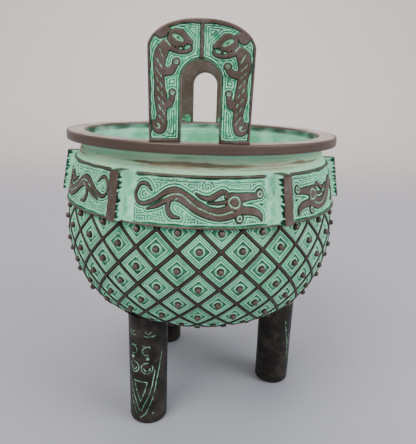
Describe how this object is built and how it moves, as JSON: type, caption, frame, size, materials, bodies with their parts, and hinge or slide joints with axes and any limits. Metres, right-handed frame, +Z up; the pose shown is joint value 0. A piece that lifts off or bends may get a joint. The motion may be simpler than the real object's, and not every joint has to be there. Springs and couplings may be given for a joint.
{
  "type": "ding vessel",
  "caption": "Round bronze ding on three column legs, with two arched handles on its rim, a belt of dragons between flanges, and a bowl of lozenges with knobs.",
  "frame": {"origin": "on the vessel's axis, at the level of the feet's undersides", "axes": "+Z up, the handles stand at -Y and +Y, and the flanges at +X and -X are two of the six"},
  "size_m": [0.1708, 0.1642, 0.2193],
  "materials": {
    "patinated_bronze": "dark brown bronze with mint green patina in the hollows of its relief, matt"
  },
  "bodies": {
    "root": {"ding_casting": "patinated_bronze"}
  },
  "joints": []
}
